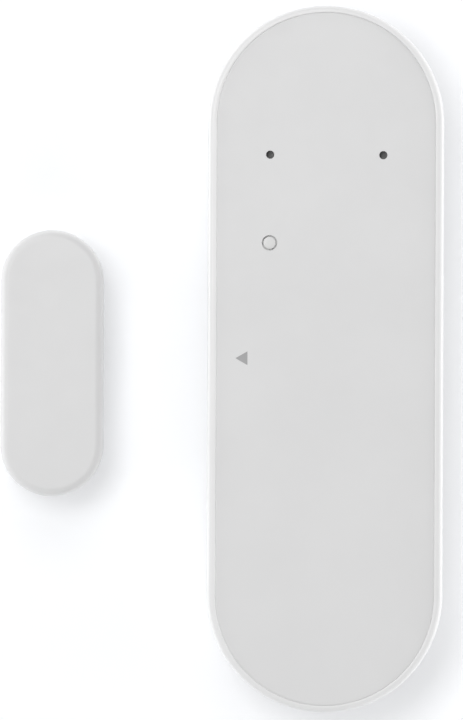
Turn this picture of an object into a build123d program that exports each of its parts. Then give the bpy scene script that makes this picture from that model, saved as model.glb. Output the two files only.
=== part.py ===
from build123d import *
import os

os.makedirs("parts", exist_ok=True)

# Door contact sensor: a pill-shaped sensor unit and a smaller pill-shaped magnet unit.
# Millimetres. The origin is the middle of the sensor's adhesive back face.
# +Z points out of the front panel, +Y along the length, and the magnet unit is on the -X side.

# ---------------------------------------------------------------- driving dimensions
# sensor unit, outside
SENSOR_W = 25.4
SENSOR_L = 76.2
SENSOR_H = 14.2            # from the wall to the rim of the housing
TAPE_T = 0.8               # foam tape under both units
FRONT_EDGE_R = 0.55        # rounding of the rim's outer edge
BACK_EDGE_R = 0.5
HALF_STRAIGHT = (SENSOR_L - SENSOR_W) / 2

# housing, inside
FLOOR_TOP = 2.1
BAY_R = 11.3               # end radius of the electronics bay
BAY_HALF = 25.58           # half distance between the bay's end centres
LEDGE_Z = 12.9             # the front cover rests here
REBATE_R = 11.825          # end radius of the opening that takes the cover
RIM_INNER_R = 0.05

# front cover
PANEL_R = 11.775
PANEL_TOP = 14.1
PANEL_EDGE_R = 0.06
SKIRT_OUT_R = 11.15
SKIRT_T = 0.8
SKIRT_BOTTOM = 10.6
PINHOLES = ((6.15, 22.0), (-6.05, 22.0))
PINHOLE_R = 0.43
GAUZE_R, GAUZE_T = 0.88, 0.4   # dark gauze discs behind the pinholes
SNAP_Y = 14.0              # the four snap tongues are at +-SNAP_Y

# light pipe
LENS_X, LENS_Y = -6.08, 12.49
LENS_HOLE_R = 0.82
LENS_TIP_R = 0.67
LENS_GROOVE = 0.5          # depth of the fine ring round the lens
PIPE_R = 1.3
PIPE_FLANGE_R = 1.8

# pointer triangle
TRI_TIP_X, TRI_BASE_X, TRI_HALF, TRI_Y = -9.70, -8.42, 0.74, 0.05
TRI_POCKET, TRI_T = 0.1, 0.09

# wall screws
WALL_X, WALL_Y, WALL_R = -6.0, 27.0, 1.7
WALL_CSK_R = 3.0
WALL_BOSS_R, WALL_BOSS_TOP = 4.2, 3.1

# main board
BOARD_Z, BOARD_T, BOARD_R = 4.0, 1.0, 10.9
BOARD_TOP = BOARD_Z + BOARD_T
TONGUE_RIGHT = -0.7
TONGUE_BOTTOM = -20.0
HEAD_BOTTOM = 19.6
BOARD_SCREWS = ((-8.3, -17.2), (-8.9, 17.6), (8.6, 23.0))
SCREW_R = 0.75

# battery, one AAA cell
CELL_X, CELL_Z = 5.2, 7.5
CELL_R, CAN_R = 5.25, 5.15
CELL_Y0, CELL_L = -27.0, 44.5
NUB_R, NUB_L = 1.9, 1.0
CELL_Y1 = CELL_Y0 + CELL_L
PLATE_T = 0.4
NEG_PLATE_Y = -31.2        # face of the negative plate that carries the spring

# reed switch
REED_X, REED_Z = -9.2, 6.75
GLASS_R, GLASS_BORE_R, GLASS_L, GLASS_CAVITY = 1.1, 0.85, 12.0, 9.6
LEAD_R = 0.25
BLADE_T, BLADE_W, BLADE_OVERLAP, BLADE_GAP = 0.2, 1.1, 0.6, 0.03
LEAD_HOLE_Y = 8.2

# switches
PAIR_X, PAIR_Y = -4.4, -6.6
TAMPER_X, TAMPER_Y = -4.4, 1.5
TAMPER_TOP = 11.58

# radio module
MOD_X, MOD_Y, MOD_W, MOD_L, MOD_T = 2.1, 27.0, 9.0, 12.4, 0.8

# magnet unit
MAG_X, MAG_Y = -29.54, -0.56
MAG_W, MAG_L, MAG_H = 11.1, 28.8, 11.0
MAG_HALF = (MAG_L - MAG_W) / 2
MAG_WALL, MAG_TOP_T = 1.0, 1.2
MAG_EDGE_R = 0.9
MAG_BASE_TOP = 2.2
BAR_W, BAR_L, BAR_H, BAR_Z = 5.0, 20.0, 4.0, 3.4


# ---------------------------------------------------------------- housing
with BuildPart() as housing:
    # pill-shaped outer body
    with BuildSketch(Plane.XY.offset(TAPE_T)):
        SlotCenterToCenter(2 * HALF_STRAIGHT, SENSOR_W, rotation=90)
    extrude(amount=SENSOR_H - TAPE_T)
    fillet(housing.edges().group_by(Axis.Z)[-1], FRONT_EDGE_R)
    fillet(housing.edges().group_by(Axis.Z)[0], BACK_EDGE_R)
    # electronics bay
    with BuildSketch(Plane.XY.offset(FLOOR_TOP)):
        SlotCenterToCenter(2 * BAY_HALF, 2 * BAY_R, rotation=90)
    extrude(amount=SENSOR_H, mode=Mode.SUBTRACT)
    # rebate that takes the front cover, with a softened lip
    with BuildSketch(Plane.XY.offset(LEDGE_Z)):
        SlotCenterToCenter(2 * BAY_HALF, 2 * REBATE_R, rotation=90)
    extrude(amount=SENSOR_H, mode=Mode.SUBTRACT)
    fillet(
        housing.faces().filter_by(Axis.Z).sort_by(Axis.Z)[-1].inner_wires()[0].edges(),
        RIM_INNER_R,
    )
    # pads round the two wall screws
    with BuildSketch(Plane.XY.offset(FLOOR_TOP)):
        with Locations((WALL_X, WALL_Y), (WALL_X, -WALL_Y)):
            Circle(WALL_BOSS_R)
    extrude(amount=WALL_BOSS_TOP - FLOOR_TOP)
    # posts under the main board
    with BuildSketch(Plane.XY.offset(FLOOR_TOP)):
        with Locations(*BOARD_SCREWS):
            Circle(1.9)
    extrude(amount=BOARD_Z - FLOOR_TOP)
    # saddles under the cell, joined to the side wall
    with BuildSketch(Plane.XY.offset(FLOOR_TOP)):
        with Locations((5.8, -21.0), (5.8, -4.8), (5.8, 11.4)):
            Rectangle(11.4, 1.2)
    extrude(amount=3.5)
    # cell guide: low wall between the cell and the board
    with BuildSketch(Plane.XY.offset(FLOOR_TOP)):
        with Locations((0.1, -4.8)):
            Rectangle(0.8, 33.6)
    extrude(amount=2.6)
    # bulkheads behind the two contact plates
    with BuildSketch(Plane.XY.offset(FLOOR_TOP)):
        with Locations((3.25, NEG_PLATE_Y - PLATE_T - 0.6)):
            Rectangle(9.5, 1.2)
        with Locations((0.6, -34.6), (5.9, -33.9)):
            Rectangle(1.0, 3.6)
    extrude(amount=8.3)
    with BuildSketch(Plane.XY.offset(FLOOR_TOP)):
        with Locations((5.9, CELL_Y1 + PLATE_T + 0.6)):
            Rectangle(11.0, 1.2)
    extrude(amount=8.3)
    # round seat for the cell through the saddles and the guide
    with BuildSketch(Plane.XZ.offset(-CELL_Y0 + 0.2)):
        with Locations((CELL_X, CELL_Z)):
            Circle(CELL_R + 0.08)
    extrude(amount=-(CELL_L + 0.2), mode=Mode.SUBTRACT)
    # side guides that hold the contact plates against the bulkheads
    with BuildSketch(Plane.XY.offset(FLOOR_TOP)):
        with Locations((-2.0, NEG_PLATE_Y - 0.2), (9.3, CELL_Y1 + 0.2)):
            Rectangle(1.0, 1.6)
        with Locations((9.1, NEG_PLATE_Y - 0.2)):
            Rectangle(0.8, 1.6)
    extrude(amount=6.0)
    # countersunk wall screw holes
    with Locations((WALL_X, WALL_Y, WALL_BOSS_TOP), (WALL_X, -WALL_Y, WALL_BOSS_TOP)):
        CounterSinkHole(radius=WALL_R, counter_sink_radius=WALL_CSK_R,
                        depth=WALL_BOSS_TOP, counter_sink_angle=90)
    # pilot holes in the posts
    with BuildSketch(Plane.XY.offset(BOARD_Z)):
        with Locations(*BOARD_SCREWS):
            Circle(SCREW_R)
    extrude(amount=-2.2, mode=Mode.SUBTRACT)
    # pockets in the long walls for the cover's snap bumps
    with Locations((BAY_R, SNAP_Y, 11.5), (BAY_R, -SNAP_Y, 11.5),
                   (-BAY_R, SNAP_Y, 11.5), (-BAY_R, -SNAP_Y, 11.5)):
        Box(0.6, 5.6, 1.2, mode=Mode.SUBTRACT)
housing.part.label = "housing"
export_step(housing.part, "parts/housing.step")


# ---------------------------------------------------------------- front cover
with BuildPart() as front_cover:
    with BuildSketch(Plane.XY.offset(LEDGE_Z)):
        SlotCenterToCenter(2 * BAY_HALF, 2 * PANEL_R, rotation=90)
    extrude(amount=PANEL_TOP - LEDGE_Z)
    fillet(front_cover.edges().group_by(Axis.Z)[-1], PANEL_EDGE_R)
    # skirt inside the housing wall
    with BuildSketch(Plane.XY.offset(LEDGE_Z)):
        SlotCenterToCenter(2 * BAY_HALF, 2 * SKIRT_OUT_R, rotation=90)
        SlotCenterToCenter(2 * BAY_HALF, 2 * (SKIRT_OUT_R - SKIRT_T), rotation=90,
                           mode=Mode.SUBTRACT)
    extrude(amount=SKIRT_BOTTOM - LEDGE_Z)
    # slots that free the four snap tongues
    with Locations(*[(sx * (SKIRT_OUT_R - SKIRT_T / 2), sy * SNAP_Y + dy, 11.6)
                     for sx in (-1, 1) for sy in (-1, 1) for dy in (-3.4, 3.4)]):
        Box(1.6, 0.8, 2.6, mode=Mode.SUBTRACT)
    # snap bumps, rounded along their length
    with BuildSketch(Plane.XZ.offset(SNAP_Y - 2.2), Plane.XZ.offset(-SNAP_Y - 2.2)):
        with Locations((SKIRT_OUT_R - 0.18, 11.5), (-SKIRT_OUT_R + 0.18, 11.5)):
            Circle(0.28)
    extrude(amount=4.4)
    # cross ribs over the board
    with BuildSketch(Plane.XY.offset(LEDGE_Z)):
        with Locations((-4.8, -12.0), (-4.8, -22.0)):
            Rectangle(10.4, 0.8)
        with Locations((0, 31.0)):
            Rectangle(16.0, 0.8)
        with Locations((-1.6, 17.5)):
            Rectangle(0.8, 8.0)
    extrude(amount=-1.2)
    # boss that presses the tamper plunger
    with BuildSketch(Plane.XY.offset(LEDGE_Z)):
        with Locations((TAMPER_X, TAMPER_Y)):
            Circle(2.0)
    extrude(amount=-(LEDGE_Z - TAMPER_TOP - 0.02))
    # guide tubes behind the pinholes and the socket of the light pipe
    with BuildSketch(Plane.XY.offset(LEDGE_Z)):
        with Locations(*PINHOLES):
            Circle(1.5)
        with Locations((LENS_X, LENS_Y)):
            Circle(2.5)
    extrude(amount=-1.5)
    with BuildSketch(Plane.XY.offset(PANEL_TOP)):
        with Locations(*PINHOLES):
            Circle(PINHOLE_R)
        with Locations((LENS_X, LENS_Y)):
            Circle(LENS_HOLE_R)
    extrude(amount=-4.0, mode=Mode.SUBTRACT)
    with BuildSketch(Plane.XY.offset(LEDGE_Z)):
        with Locations(*PINHOLES):
            Circle(GAUZE_R + 0.02)
        with Locations((LENS_X, LENS_Y)):
            Circle(PIPE_FLANGE_R)
    extrude(amount=-2.0, mode=Mode.SUBTRACT)
    # soften the mouths of the pinholes and of the lens hole
    fillet(
        front_cover.edges().filter_by(GeomType.CIRCLE)
        .filter_by(lambda e: e.radius < 1.0 and abs(e.center().Z - PANEL_TOP) < 1e-4),
        0.04,
    )
    # shallow pocket for the pointer triangle
    with BuildSketch(Plane.XY.offset(PANEL_TOP)):
        with BuildLine():
            Polyline(
                (TRI_TIP_X, TRI_Y), (TRI_BASE_X, TRI_Y - TRI_HALF),
                (TRI_BASE_X, TRI_Y + TRI_HALF), close=True,
            )
        make_face()
    extrude(amount=-TRI_POCKET, mode=Mode.SUBTRACT)
front_cover.part.label = "front_cover"
export_step(front_cover.part, "parts/front_cover.step")


# ---------------------------------------------------------------- gauze behind the pinholes
with BuildPart() as pinhole_gauze:
    with BuildSketch(Plane.XY.offset(LEDGE_Z)):
        with Locations(*PINHOLES):
            Circle(GAUZE_R)
    extrude(amount=-GAUZE_T)
pinhole_gauze.part.label = "pinhole_gauze"
export_step(pinhole_gauze.part, "parts/pinhole_gauze.step")


# ---------------------------------------------------------------- pointer triangle
with BuildPart() as pointer_mark:
    with BuildSketch(Plane.XY.offset(PANEL_TOP - TRI_POCKET)):
        with BuildLine():
            Polyline(
                (TRI_TIP_X, TRI_Y), (TRI_BASE_X, TRI_Y - TRI_HALF),
                (TRI_BASE_X, TRI_Y + TRI_HALF), close=True,
            )
        make_face()
    extrude(amount=TRI_T)
pointer_mark.part.label = "pointer_mark"
export_step(pointer_mark.part, "parts/pointer_mark.step")


# ---------------------------------------------------------------- light pipe
with BuildPart() as light_pipe:
    # half section turned about the pipe's own axis
    with BuildSketch(Plane(origin=(LENS_X, LENS_Y, 0), x_dir=(1, 0, 0), z_dir=(0, -1, 0))):
        with BuildLine():
            Polyline(
                (0, 6.1), (PIPE_R - 0.2, 6.1), (PIPE_R, 6.4), (PIPE_R, 12.2),
                (PIPE_FLANGE_R, 12.2), (PIPE_FLANGE_R, LEDGE_Z), (LENS_HOLE_R, LEDGE_Z),
                (LENS_HOLE_R, PANEL_TOP - LENS_GROOVE), (LENS_TIP_R, PANEL_TOP - LENS_GROOVE),
                (LENS_TIP_R, PANEL_TOP - 0.05), (LENS_TIP_R - 0.04, PANEL_TOP - 0.01),
                (0, PANEL_TOP - 0.01), close=True,
            )
        make_face()
    revolve(axis=Axis((LENS_X, LENS_Y, 0), (0, 0, 1)))
light_pipe.part.label = "light_pipe"
export_step(light_pipe.part, "parts/light_pipe.step")


# ---------------------------------------------------------------- main board
with BuildPart() as main_board:
    with BuildSketch(Plane.XY.offset(BOARD_Z)):
        SlotCenterToCenter(2 * BAY_HALF, 2 * BOARD_R, rotation=90)
        # battery side
        with Locations((TONGUE_RIGHT + 10, HEAD_BOTTOM - 35)):
            Rectangle(20, 70, mode=Mode.SUBTRACT)
        # lower end
        with Locations((0, TONGUE_BOTTOM - 15)):
            Rectangle(40, 30, mode=Mode.SUBTRACT)
        # way for the screwdriver to the upper wall screw
        with Locations((WALL_X, WALL_Y)):
            Circle(3.4, mode=Mode.SUBTRACT)
        with Locations((WALL_X - 4, WALL_Y)):
            Rectangle(8, 6.8, mode=Mode.SUBTRACT)
        with Locations(*BOARD_SCREWS):
            Circle(SCREW_R + 0.15, mode=Mode.SUBTRACT)
        with Locations((REED_X, LEAD_HOLE_Y), (REED_X, -LEAD_HOLE_Y)):
            Circle(LEAD_R + 0.1, mode=Mode.SUBTRACT)
    extrude(amount=BOARD_T)
main_board.part.label = "main_board"
export_step(main_board.part, "parts/main_board.step")


# ---------------------------------------------------------------- board screws
with BuildPart() as board_screws:
    with BuildSketch(Plane.XY.offset(BOARD_TOP)):
        with Locations(*BOARD_SCREWS):
            Circle(1.5)
    extrude(amount=0.9)
    fillet(board_screws.edges().group_by(Axis.Z)[-1], 0.35)
    with BuildSketch(Plane.XY.offset(BOARD_TOP)):
        with Locations(*BOARD_SCREWS):
            Circle(SCREW_R)
    extrude(amount=-3.0)
    # cross recess
    with BuildSketch(Plane.XY.offset(BOARD_TOP + 0.9)):
        with Locations(*BOARD_SCREWS):
            Rectangle(1.6, 0.32)
            Rectangle(0.32, 1.6)
    extrude(amount=-0.5, mode=Mode.SUBTRACT)
board_screws.part.label = "board_screws"
export_step(board_screws.part, "parts/board_screws.step")


# ---------------------------------------------------------------- radio module
with BuildPart() as radio_module:
    with BuildSketch(Plane.XY.offset(BOARD_TOP)):
        with Locations((MOD_X, MOD_Y)):
            Rectangle(MOD_W, MOD_L)
        # plated half holes along both long edges
        with Locations(*[(MOD_X + s * MOD_W / 2, MOD_Y - 5.0 + 1.1 * i)
                         for s in (-1, 1) for i in range(8)]):
            Circle(0.25, mode=Mode.SUBTRACT)
    extrude(amount=MOD_T)
radio_module.part.label = "radio_module"
export_step(radio_module.part, "parts/radio_module.step")

with BuildPart() as radio_shield:
    with BuildSketch(Plane.XY.offset(BOARD_TOP + MOD_T)):
        with Locations((MOD_X, MOD_Y - 1.7)):
            RectangleRounded(7.8, 8.4, 0.5)
    extrude(amount=1.8)
    fillet(radio_shield.edges().group_by(Axis.Z)[-1], 0.2)
    # pressed from thin sheet, open underneath
    with BuildSketch(Plane.XY.offset(BOARD_TOP + MOD_T)):
        with Locations((MOD_X, MOD_Y - 1.7)):
            RectangleRounded(7.4, 8.0, 0.3)
    extrude(amount=1.6, mode=Mode.SUBTRACT)
radio_shield.part.label = "radio_shield"
export_step(radio_shield.part, "parts/radio_shield.step")


# ---------------------------------------------------------------- status LED
with BuildPart() as status_led:
    with BuildSketch(Plane.XY.offset(BOARD_TOP)):
        with Locations((LENS_X, LENS_Y)):
            Rectangle(2.0, 1.25)
    extrude(amount=0.35)
    with BuildSketch(Plane.XY.offset(BOARD_TOP + 0.35)):
        with Locations((LENS_X, LENS_Y)):
            Rectangle(1.4, 1.25)
    extrude(amount=0.4, taper=4)
status_led.part.label = "status_led"
export_step(status_led.part, "parts/status_led.step")


# ---------------------------------------------------------------- reed switch
with BuildPart() as reed_glass:
    # sealed tube lying along the length, with rounded ends
    with BuildSketch(Plane.XZ.offset(GLASS_L / 2)):
        with Locations((REED_X, REED_Z)):
            Circle(GLASS_R)
    extrude(amount=-GLASS_L)
    fillet(reed_glass.edges().group_by(Axis.Y)[0] + reed_glass.edges().group_by(Axis.Y)[-1], 0.6)
    with BuildSketch(Plane.XZ.offset(GLASS_L / 2)):
        with Locations((REED_X, REED_Z)):
            Circle(LEAD_R)
    extrude(amount=-GLASS_L, mode=Mode.SUBTRACT)
    with BuildSketch(Plane.XZ.offset(GLASS_CAVITY / 2)):
        with Locations((REED_X, REED_Z)):
            Circle(GLASS_BORE_R)
    extrude(amount=-GLASS_CAVITY, mode=Mode.SUBTRACT)
reed_glass.part.label = "reed_glass"
export_step(reed_glass.part, "parts/reed_glass.step")

with BuildPart() as reed_leads:
    # each lead runs out of the glass and turns down through the board
    with BuildLine() as lead_path:
        FilletPolyline(
            (REED_X, GLASS_CAVITY / 2 - 0.02, REED_Z), (REED_X, LEAD_HOLE_Y, REED_Z),
            (REED_X, LEAD_HOLE_Y, BOARD_Z - 0.6), radius=0.7,
        )
    with BuildSketch(Plane(origin=lead_path.line @ 0, z_dir=lead_path.line % 0)):
        Circle(LEAD_R)
    sweep()
    mirror(about=Plane.XZ)
reed_leads.part.label = "reed_leads"
export_step(reed_leads.part, "parts/reed_leads.step")

with BuildPart() as reed_blade_a:
    # upper blade: narrow root at the +Y seal, broad rounded tip past the middle
    with BuildSketch(Plane.XY.offset(REED_Z + BLADE_GAP / 2)):
        with BuildLine():
            Polyline(
                (REED_X - 0.25, GLASS_CAVITY / 2 - 0.05), (REED_X - 0.25, 3.9),
                (REED_X - BLADE_W / 2, 3.3), (REED_X - BLADE_W / 2, 0.25 - BLADE_OVERLAP),
                (REED_X - 0.3, -BLADE_OVERLAP), (REED_X + 0.3, -BLADE_OVERLAP),
                (REED_X + BLADE_W / 2, 0.25 - BLADE_OVERLAP), (REED_X + BLADE_W / 2, 3.3),
                (REED_X + 0.25, 3.9), (REED_X + 0.25, GLASS_CAVITY / 2 - 0.05), close=True,
            )
        make_face()
    extrude(amount=BLADE_T)
reed_blade_a.part.label = "reed_blade_a"
export_step(reed_blade_a.part, "parts/reed_blade_a.step")

with BuildPart() as reed_blade_b:
    # lower blade: the same shape from the -Y seal
    with BuildSketch(Plane.XY.offset(REED_Z - BLADE_GAP / 2 - BLADE_T)):
        with BuildLine():
            Polyline(
                (REED_X - 0.25, -GLASS_CAVITY / 2 + 0.05), (REED_X - 0.25, -3.9),
                (REED_X - BLADE_W / 2, -3.3), (REED_X - BLADE_W / 2, BLADE_OVERLAP - 0.25),
                (REED_X - 0.3, BLADE_OVERLAP), (REED_X + 0.3, BLADE_OVERLAP),
                (REED_X + BLADE_W / 2, BLADE_OVERLAP - 0.25), (REED_X + BLADE_W / 2, -3.3),
                (REED_X + 0.25, -3.9), (REED_X + 0.25, -GLASS_CAVITY / 2 + 0.05), close=True,
            )
        make_face()
    extrude(amount=BLADE_T)
reed_blade_b.part.label = "reed_blade_b"
export_step(reed_blade_b.part, "parts/reed_blade_b.step")


# ---------------------------------------------------------------- pairing switch
with BuildPart() as pairing_switch:
    with BuildSketch(Plane.XY.offset(BOARD_TOP)):
        with Locations((PAIR_X, PAIR_Y)):
            RectangleRounded(4.5, 4.5, 0.4)
    extrude(amount=2.0)
    # solder feet
    with BuildSketch(Plane.XY.offset(BOARD_TOP)):
        with Locations((PAIR_X, PAIR_Y - 1.5), (PAIR_X, PAIR_Y + 1.5)):
            Rectangle(5.9, 0.6)
    extrude(amount=0.25)
    # well for the button
    with BuildSketch(Plane.XY.offset(BOARD_TOP + 2.0)):
        with Locations((PAIR_X, PAIR_Y)):
            Circle(1.3)
    extrude(amount=-1.25, mode=Mode.SUBTRACT)
pairing_switch.part.label = "pairing_switch"
export_step(pairing_switch.part, "parts/pairing_switch.step")

with BuildPart() as pairing_button:
    with BuildSketch(Plane.XY.offset(BOARD_TOP + 1.1)):
        with Locations((PAIR_X, PAIR_Y)):
            Circle(1.2)
    extrude(amount=2.1)
    fillet(pairing_button.edges().group_by(Axis.Z)[-1], 0.2)
pairing_button.part.label = "pairing_button"
export_step(pairing_button.part, "parts/pairing_button.step")


# ---------------------------------------------------------------- tamper switch
with BuildPart() as tamper_switch:
    with BuildSketch(Plane.XY.offset(BOARD_TOP)):
        with Locations((TAMPER_X, TAMPER_Y)):
            RectangleRounded(6.0, 6.0, 0.5)
    extrude(amount=3.5)
    fillet(tamper_switch.edges().group_by(Axis.Z)[-1], 0.25)
    # well for the plunger
    with BuildSketch(Plane.XY.offset(BOARD_TOP + 3.5)):
        with Locations((TAMPER_X, TAMPER_Y)):
            Circle(1.4)
    extrude(amount=-2.5, mode=Mode.SUBTRACT)
tamper_switch.part.label = "tamper_switch"
export_step(tamper_switch.part, "parts/tamper_switch.step")

with BuildPart() as tamper_plunger:
    with BuildSketch(Plane(origin=(TAMPER_X, TAMPER_Y, 0), x_dir=(1, 0, 0), z_dir=(0, -1, 0))):
        with BuildLine():
            Polyline(
                (0, 6.3), (1.1, 6.3), (1.3, 6.5), (1.3, 10.4), (2.5, 10.4), (2.5, 10.9),
                (1.5, 10.9), (1.5, TAMPER_TOP - 0.25), (1.25, TAMPER_TOP), (0, TAMPER_TOP),
                close=True,
            )
        make_face()
    revolve(axis=Axis((TAMPER_X, TAMPER_Y, 0), (0, 0, 1)))
tamper_plunger.part.label = "tamper_plunger"
export_step(tamper_plunger.part, "parts/tamper_plunger.step")

with BuildPart() as tamper_spring:
    with BuildLine() as tamper_coil:
        Helix(pitch=0.47, height=1.56, radius=1.95, center=(TAMPER_X, TAMPER_Y, 8.67))
    with BuildSketch(Plane(origin=tamper_coil.line @ 0, z_dir=tamper_coil.line % 0)):
        Circle(0.14)
    sweep(is_frenet=True)
tamper_spring.part.label = "tamper_spring"
export_step(tamper_spring.part, "parts/tamper_spring.step")


# ---------------------------------------------------------------- battery
with BuildPart() as battery_cell:
    with BuildSketch(Plane.XZ.offset(-CELL_Y0)):
        with Locations((CELL_X, CELL_Z)):
            Circle(CAN_R)
    extrude(amount=-(CELL_L - NUB_L))
    fillet(battery_cell.edges().group_by(Axis.Y)[0] + battery_cell.edges().group_by(Axis.Y)[-1], 0.4)
    # crimped step and terminal nub at the positive end
    with BuildSketch(Plane.XZ.offset(-(CELL_Y1 - NUB_L))):
        with Locations((CELL_X, CELL_Z)):
            Circle(NUB_R)
    extrude(amount=-NUB_L)
    fillet(battery_cell.edges().group_by(Axis.Y)[-1], 0.3)
    # raised disc of the negative end stands in a shallow ring
    with BuildSketch(Plane.XZ.offset(-CELL_Y0)):
        with Locations((CELL_X, CELL_Z)):
            Circle(4.1)
            Circle(3.6, mode=Mode.SUBTRACT)
    extrude(amount=-0.3, mode=Mode.SUBTRACT)
battery_cell.part.label = "battery_cell"
export_step(battery_cell.part, "parts/battery_cell.step")

with BuildPart() as battery_sleeve:
    with BuildSketch(Plane.XZ.offset(-CELL_Y0 - 0.45)):
        with Locations((CELL_X, CELL_Z)):
            Circle(CELL_R)
            Circle(CAN_R, mode=Mode.SUBTRACT)
    extrude(amount=-(CELL_L - NUB_L - 0.9))
battery_sleeve.part.label = "battery_sleeve"
export_step(battery_sleeve.part, "parts/battery_sleeve.step")

with BuildPart() as battery_spring:
    # conical coil from the plate to the cell's flat end
    with BuildLine() as cell_coil:
        Helix(pitch=1.18, height=3.54, radius=3.1, center=(CELL_X, NEG_PLATE_Y + 0.32, CELL_Z),
              direction=(0, 1, 0), cone_angle=-13)
    with BuildSketch(Plane(origin=cell_coil.line @ 0, z_dir=cell_coil.line % 0)):
        Circle(0.3)
    sweep()
battery_spring.part.label = "battery_spring"
export_step(battery_spring.part, "parts/battery_spring.step")

with BuildPart() as contact_plate_negative:
    with BuildSketch(Plane.XZ.offset(-NEG_PLATE_Y)):
        with BuildLine():
            Polyline((-1.3, 5.0), (1.6, 5.0), (1.6, 3.4), (8.6, 3.4), (8.6, 10.4), (1.6, 10.4),
                     (1.6, 7.6), (-1.3, 7.6), close=True)
        make_face()
    extrude(amount=PLATE_T)
    # arm along the cell to its solder foot on the board
    with BuildSketch(Plane.XY.offset(BOARD_TOP)):
        with Locations((-1.1, (NEG_PLATE_Y - PLATE_T + TONGUE_BOTTOM + 1.4) / 2)):
            Rectangle(0.4, TONGUE_BOTTOM + 1.4 - NEG_PLATE_Y + PLATE_T)
    extrude(amount=2.6)
contact_plate_negative.part.label = "contact_plate_negative"
export_step(contact_plate_negative.part, "parts/contact_plate_negative.step")

with BuildPart() as contact_plate_positive:
    with BuildSketch(Plane.XZ.offset(-CELL_Y1)):
        with BuildLine():
            Polyline((1.4, 3.4), (8.8, 3.4), (8.8, 10.8), (1.4, 10.8), (1.4, 7.0), (-2.6, 7.0),
                     (-2.6, 5.0), (-1.2, 5.0), (-1.2, 5.4), (1.4, 5.4), close=True)
        make_face()
    extrude(amount=-PLATE_T)
contact_plate_positive.part.label = "contact_plate_positive"
export_step(contact_plate_positive.part, "parts/contact_plate_positive.step")


# ---------------------------------------------------------------- parts on the board
with BuildPart() as boost_inductor:
    with BuildSketch(Plane.XY.offset(BOARD_TOP)):
        with Locations((-4.0, -13.2)):
            RectangleRounded(4.0, 4.0, 0.6)
    extrude(amount=1.9)
    fillet(boost_inductor.edges().group_by(Axis.Z)[-1], 0.2)
    # round core standing in its ring gap
    with BuildSketch(Plane.XY.offset(BOARD_TOP + 1.9)):
        with Locations((-4.0, -13.2)):
            Circle(1.65)
            Circle(1.45, mode=Mode.SUBTRACT)
    extrude(amount=-0.4, mode=Mode.SUBTRACT)
boost_inductor.part.label = "boost_inductor"
export_step(boost_inductor.part, "parts/boost_inductor.step")

with BuildPart() as supply_capacitors:
    with BuildSketch(Plane.XY.offset(BOARD_TOP)):
        with Locations((-4.0, -17.6), (-5.6, 9.6)):
            Rectangle(3.5, 2.4)
    extrude(amount=1.8)
    chamfer(supply_capacitors.edges().group_by(Axis.Z)[-1], 0.15)
supply_capacitors.part.label = "supply_capacitors"
export_step(supply_capacitors.part, "parts/supply_capacitors.step")

# each entry is x, y, width, length, height
CHIPS = (
    (-8.8, -14.2, 3.0, 1.7, 1.1), (-8.8, -11.9, 3.2, 1.6, 1.0), (-8.6, 12.4, 1.6, 0.8, 0.5),
    (-2.4, 7.0, 1.6, 0.8, 0.5), (-5.0, 7.0, 1.6, 0.8, 0.5), (-2.4, 9.4, 1.0, 0.5, 0.4),
    (-2.4, 11.0, 1.0, 0.5, 0.4), (-2.4, 12.6, 1.0, 0.5, 0.4), (-2.4, 14.4, 2.0, 1.2, 0.8),
    (-5.4, 16.6, 1.0, 0.5, 0.4), (-5.4, 18.2, 1.0, 0.5, 0.4), (8.4, 27.2, 1.0, 1.6, 0.5),
    (8.2, 29.6, 1.0, 0.5, 0.4), (-3.4, 21.6, 1.0, 0.5, 0.4), (-6.2, 21.4, 1.6, 0.8, 0.5),
    (-3.6, 32.2, 1.6, 0.8, 0.5),
)
with BuildPart() as chip_parts:
    for cx, cy, cw, cl, ch in CHIPS:
        with Locations((cx, cy, BOARD_TOP)):
            Box(cw, cl, ch, align=(Align.CENTER, Align.CENTER, Align.MIN))
    chamfer(chip_parts.edges().filter_by(lambda e: e.center().Z > BOARD_TOP + 0.35)
            .filter_by(Axis.Z, reverse=True), 0.06)
chip_parts.part.label = "chip_parts"
export_step(chip_parts.part, "parts/chip_parts.step")


# ---------------------------------------------------------------- foam tape under the sensor
with BuildPart() as adhesive_pad_sensor:
    with BuildSketch():
        SlotCenterToCenter(2 * HALF_STRAIGHT, 22.4, rotation=90)
        with Locations((WALL_X, WALL_Y), (WALL_X, -WALL_Y)):
            Circle(3.0, mode=Mode.SUBTRACT)
    extrude(amount=TAPE_T)
adhesive_pad_sensor.part.label = "adhesive_pad_sensor"
export_step(adhesive_pad_sensor.part, "parts/adhesive_pad_sensor.step")


# ---------------------------------------------------------------- magnet unit
with BuildPart() as magnet_cover:
    with BuildSketch(Plane.XY.offset(TAPE_T)):
        with Locations((MAG_X, MAG_Y)):
            SlotCenterToCenter(2 * MAG_HALF, MAG_W, rotation=90)
    extrude(amount=MAG_H - TAPE_T)
    fillet(magnet_cover.edges().group_by(Axis.Z)[-1], MAG_EDGE_R)
    # hollow, open at the back
    with BuildSketch(Plane.XY.offset(TAPE_T)):
        with Locations((MAG_X, MAG_Y)):
            SlotCenterToCenter(2 * MAG_HALF, MAG_W - 2 * MAG_WALL, rotation=90)
    extrude(amount=MAG_H - TAPE_T - MAG_TOP_T, mode=Mode.SUBTRACT)
    # softened outer foot
    fillet(magnet_cover.faces().filter_by(Axis.Z).sort_by(Axis.Z)[0].outer_wire().edges(), 0.25)
magnet_cover.part.label = "magnet_cover"
export_step(magnet_cover.part, "parts/magnet_cover.step")

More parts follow.
